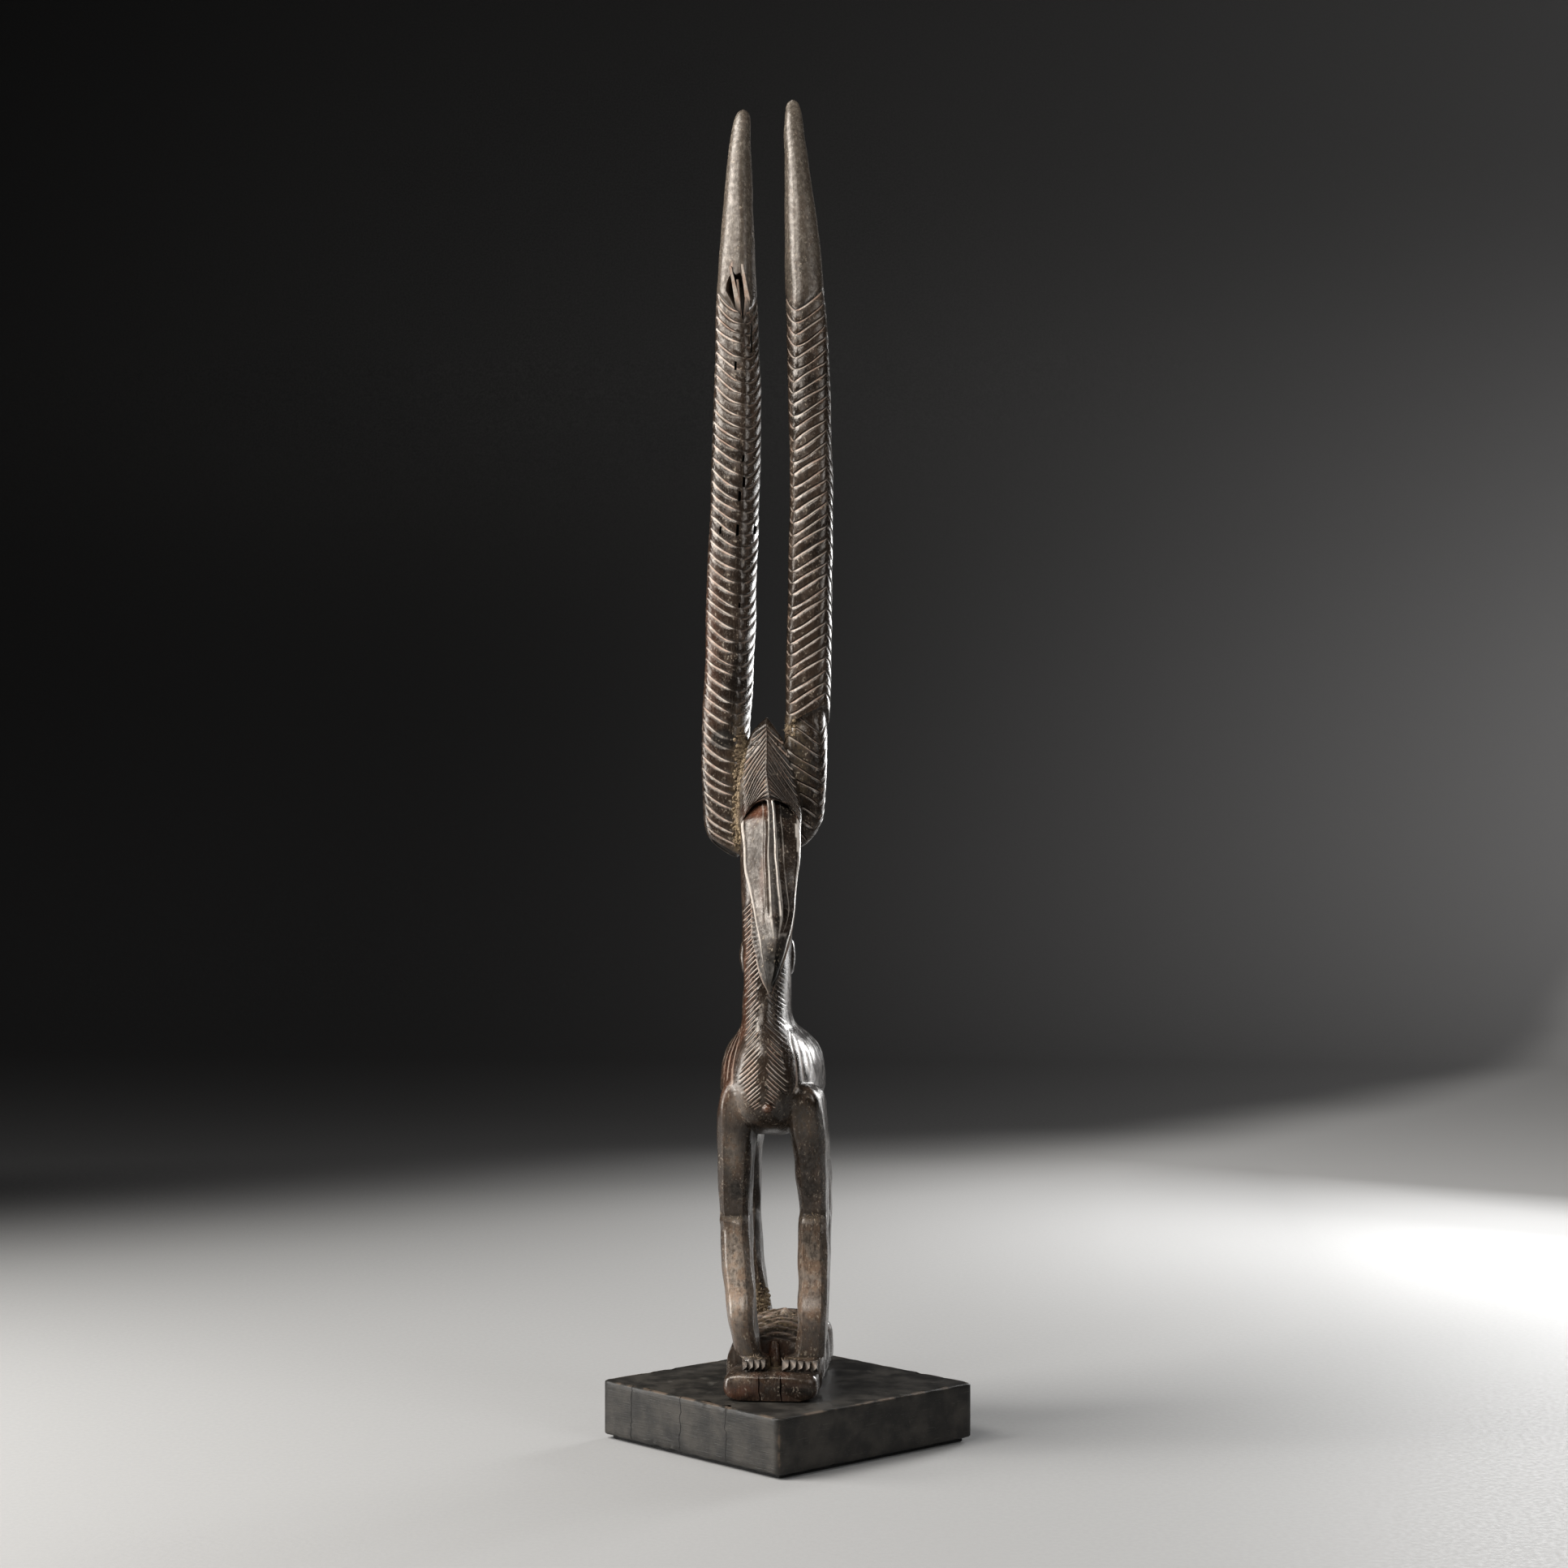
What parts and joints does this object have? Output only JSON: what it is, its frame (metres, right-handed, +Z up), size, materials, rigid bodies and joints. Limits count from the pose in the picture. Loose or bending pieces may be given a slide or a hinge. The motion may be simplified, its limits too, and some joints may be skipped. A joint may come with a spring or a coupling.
{
  "type": "carved antelope headdress on a plinth",
  "caption": "Tall carved wooden antelope headdress with long upright herringbone horns, a young one on its back and a ribbed base, shown standing on a square dark plinth",
  "frame": {"origin": "centre of the underside of the pad, on the surface it stands on", "axes": "+Z up along the horns; the figure's face and muzzle point along -Y; +X is to the right of someone looking at the face"},
  "size_m": [0.2266, 0.2266, 0.8363],
  "materials": {
    "carved_wood": "dark glossy patina, worn edges, pale cut marks",
    "plinth_wood": "near-black stain, scuffed edges",
    "pad_cloth": "thin dark felt"
  },
  "bodies": {
    "root": {"antelope_headdress": "carved_wood", "plinth": "plinth_wood", "underside_pad": "pad_cloth"}
  },
  "joints": []
}
